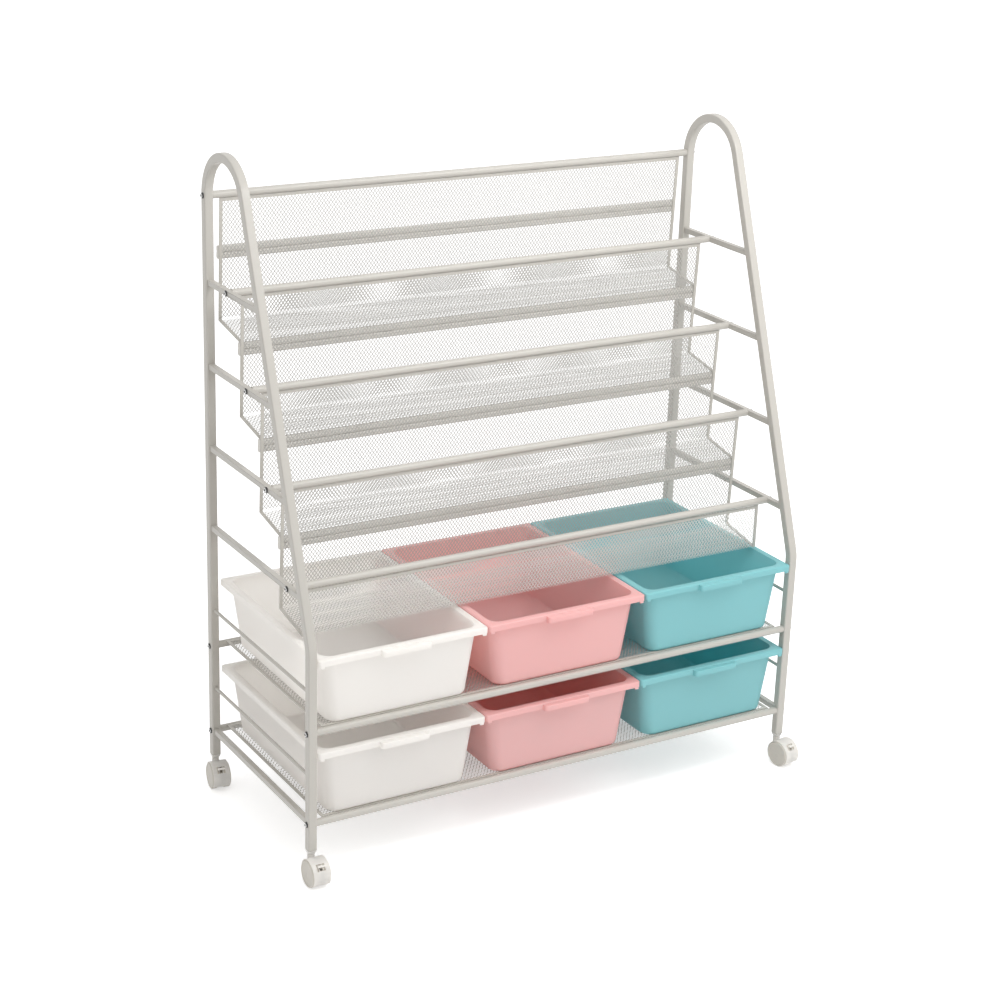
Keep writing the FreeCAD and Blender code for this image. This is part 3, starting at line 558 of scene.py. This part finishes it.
def storageBin(low, high):
    rim, wall, near = binShape["rim"], binShape["wall"], binShape["near"]
    low = Vector(low) + Vector((0, binShape["gripReach"], 0))  # the node's box holds the grip too
    high = Vector(high)
    height = high.z - low.z
    tub = taperedTub("bin", (low.x + rim, low.y + rim, low.z),
                     (high.x - rim, high.y - rim, high.z - wall / 2),
                     height, binShape["corner"], binShape["floorRound"])
    plate = startBlock("plate", (low.x, low.y, high.z - binShape["skirt"]), high)
    pickEdges(plate, upright)
    bevelPicked(binShape["rimCorner"], binShape["rimCornerSteps"])
    pickEdges(plate, lambda a, b: min(a.z, b.z) > high.z - near)
    bevelPicked(binShape["rimRound"], binShape["rimRoundSteps"])
    under = startBlock("under", (low.x + wall, low.y + wall, high.z - 2 * binShape["skirt"]),
                       (high.x - wall, high.y - wall, high.z - wall))
    pickEdges(under, upright)
    bevelPicked(binShape["rimCorner"] - wall, binShape["rimCornerSteps"])
    combine(plate, under, "DIFFERENCE")
    middle = (low.x + high.x) / 2
    half = binShape["gripWidth"] / 2
    lipTop = high.z - binShape["gripBelow"]
    proud = binShape["gripProud"]
    pull = startBlock("pull", (middle - half, low.y - proud, lipTop - binShape["gripDrop"]),
                      (middle + half, low.y + wall, lipTop))
    pickEdges(pull, lambda a, b: upright(a, b) and a.y < low.y)
    bevelPicked(binShape["gripCorner"], binShape["gripCornerSteps"])
    pickEdges(pull, lambda a, b: min(a.z, b.z) > lipTop - near and max(a.y, b.y) < low.y + near)
    bevelPicked(binShape["gripRound"], binShape["gripRoundSteps"])
    hollow = startBlock("hollow",
                        (middle - half + 2 * wall, low.y - proud + wall, lipTop - 2 * binShape["gripDrop"]),
                        (middle + half - 2 * wall, low.y - wall / 4, lipTop - wall))
    combine(pull, hollow, "DIFFERENCE")
    combine(tub, plate, "UNION")
    combine(tub, pull, "UNION")
    skirtFoot = high.z - binShape["skirt"]
    for side in (-1, 1):
        x = middle + side * ((high.x - low.x) / 2 - binShape["lugIn"])
        lug = startBlock("lug", (x - binShape["lugHalf"], low.y, skirtFoot - binShape["lugDrop"]),
                         (x + binShape["lugHalf"], low.y + wall, skirtFoot + binShape["lugUnder"]))
        combine(tub, lug, "UNION")
    cavity = taperedTub("cavity", (low.x + rim + wall, low.y + rim + wall, low.z + wall),
                        (high.x - rim - wall, high.y - rim - wall, high.z + 4 * wall),
                        height, binShape["corner"] - wall, binShape["floorRound"] - wall)
    combine(tub, cavity, "DIFFERENCE")
    applyModifier(tub, "BEVEL", width=binShape["edge"], segments=softening["steps"], limit_method="ANGLE",
                  angle_limit=math.radians(softening["sharpAngle"]), use_clamp_overlap=True)
    smoothByAngle(tub, softening["sharpAngle"])
    return tub


binColumns = {
    "left": ("binWhite", "bin_white"),
    "middle": ("binPink", "bin_pink"),
    "right": ("binTeal", "bin_teal"),
}
firstLow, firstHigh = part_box("upper_middle_bin")
pattern = storageBin(firstLow, firstHigh)
for level in levels:
    for column, (color, slot) in binColumns.items():
        body = "%s_%s_bin" % (level, column)
        low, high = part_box(body)
        piece = bpy.data.objects.new("%s_%s_tub" % (level, column), pattern.data.copy())
        scene.collection.objects.link(piece)
        piece.data.transform(Matrix.Translation(Vector(low) - Vector(firstLow)))
        dress(piece, finish[color])
        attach(piece, body)
        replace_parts(piece, body)
bpy.data.objects.remove(pattern)
print("bins made")


# floor, light and camera
stageSet = {
    "floorSize": 80.0,
    "floorColor": (0.97, 0.97, 0.97, 1.0),
    "floorRough": 0.8,
    "floorGlow": 0.47,
    "worldLight": 0.74,
}


def backgroundRay(tree):
    # 1 where the eye sees the background straight, in metal or through glass
    path = tree.nodes.new("ShaderNodeLightPath")
    seen = path.outputs["Is Camera Ray"]
    for label in ("Is Glossy Ray", "Is Transmission Ray"):
        larger = tree.nodes.new("ShaderNodeMath")
        larger.operation = "MAXIMUM"
        tree.links.new(seen, larger.inputs[0])
        tree.links.new(path.outputs[label], larger.inputs[1])
        seen = larger.outputs[0]
    return seen


def floorMaterial():
    made = bpy.data.materials.new("paleFloor")
    made.use_nodes = True
    tree = made.node_tree
    shader = tree.nodes["Principled BSDF"]
    shader.inputs["Base Color"].default_value = stageSet["floorColor"]
    shader.inputs["Roughness"].default_value = stageSet["floorRough"]
    shader.inputs["Emission Color"].default_value = (1.0, 1.0, 1.0, 1.0)
    glow = tree.nodes.new("ShaderNodeMapRange")
    glow.inputs["To Max"].default_value = stageSet["floorGlow"]
    tree.links.new(backgroundRay(tree), glow.inputs["Value"])
    tree.links.new(glow.outputs["Result"], shader.inputs["Emission Strength"])
    return made


deselectAll()
bpy.ops.mesh.primitive_plane_add(size=stageSet["floorSize"], location=(0, 0, 0))
floor = bpy.context.object
floor.name = "floor"
dress(floor, floorMaterial())

world = bpy.data.worlds.new("studio")
scene.world = world
world.use_nodes = True
tree = world.node_tree
sky = tree.nodes["Background"]
sky.inputs["Color"].default_value = (1.0, 1.0, 1.0, 1.0)
power = tree.nodes.new("ShaderNodeMapRange")
power.inputs["To Min"].default_value = stageSet["worldLight"]
power.inputs["To Max"].default_value = 1.0
tree.links.new(backgroundRay(tree), power.inputs["Value"])
tree.links.new(power.outputs["Result"], sky.inputs["Strength"])


def softLamp(name, place, aim, size, watts):
    lamp = bpy.data.lights.new(name, "AREA")
    lamp.shape = "RECTANGLE"
    lamp.size, lamp.size_y = size
    lamp.energy = watts
    obj = bpy.data.objects.new(name, lamp)
    scene.collection.objects.link(obj)
    obj.location = place
    obj.rotation_euler = (Vector(aim) - Vector(place)).to_track_quat("-Z", "Y").to_euler()


lamps = {
    "keyLamp": {"place": (1.7, -2.7, 3.5), "aim": (0, 0, 0.4), "size": (2.0, 2.0), "watts": 24.0},
    "binLamp": {"place": (0.3, -0.9, 1.8), "aim": (0.1, -0.1, 0.3), "size": (1.4, 0.5), "watts": 10.0},
    "topLamp": {"place": (0.4, -0.6, 4.2), "aim": (0, 0, 0.4), "size": (3.0, 2.0), "watts": 17.0},
}
for name, lamp in lamps.items():
    softLamp(name, lamp["place"], lamp["aim"], lamp["size"], lamp["watts"])

view = {
    "place": (-1.9373, -3.3729, 1.9088),  # y is measured from the back legs
    "azimuth": -31.14,
    "elevation": 20.2,
    "roll": 1.91,
    "lens": 79.35,
    "sensor": 36.0,
    "farthest": 50.0,
}
azimuth, elevation, roll = (math.radians(view[key]) for key in ("azimuth", "elevation", "roll"))
reach = math.cos(elevation)
away = Vector((math.sin(azimuth) * reach, -math.cos(azimuth) * reach, math.sin(elevation)))
across = Vector((math.cos(azimuth), math.sin(azimuth), 0))
upward = away.cross(across)
tiltAcross = across * math.cos(roll) + upward * math.sin(roll)
tiltUp = upward * math.cos(roll) - across * math.sin(roll)
camera = bpy.data.cameras.new("camera")
camera.lens = view["lens"]
camera.sensor_width = view["sensor"]
camera.clip_end = view["farthest"]
eye = bpy.data.objects.new("camera", camera)
scene.collection.objects.link(eye)
place = Vector(view["place"]) + Vector((0, middleOf("top_rail").y, 0))
eye.matrix_world = Matrix.Translation(place) @ Matrix((tiltAcross, tiltUp, away)).transposed().to_4x4()
scene.camera = eye
print("stage, light and camera set")
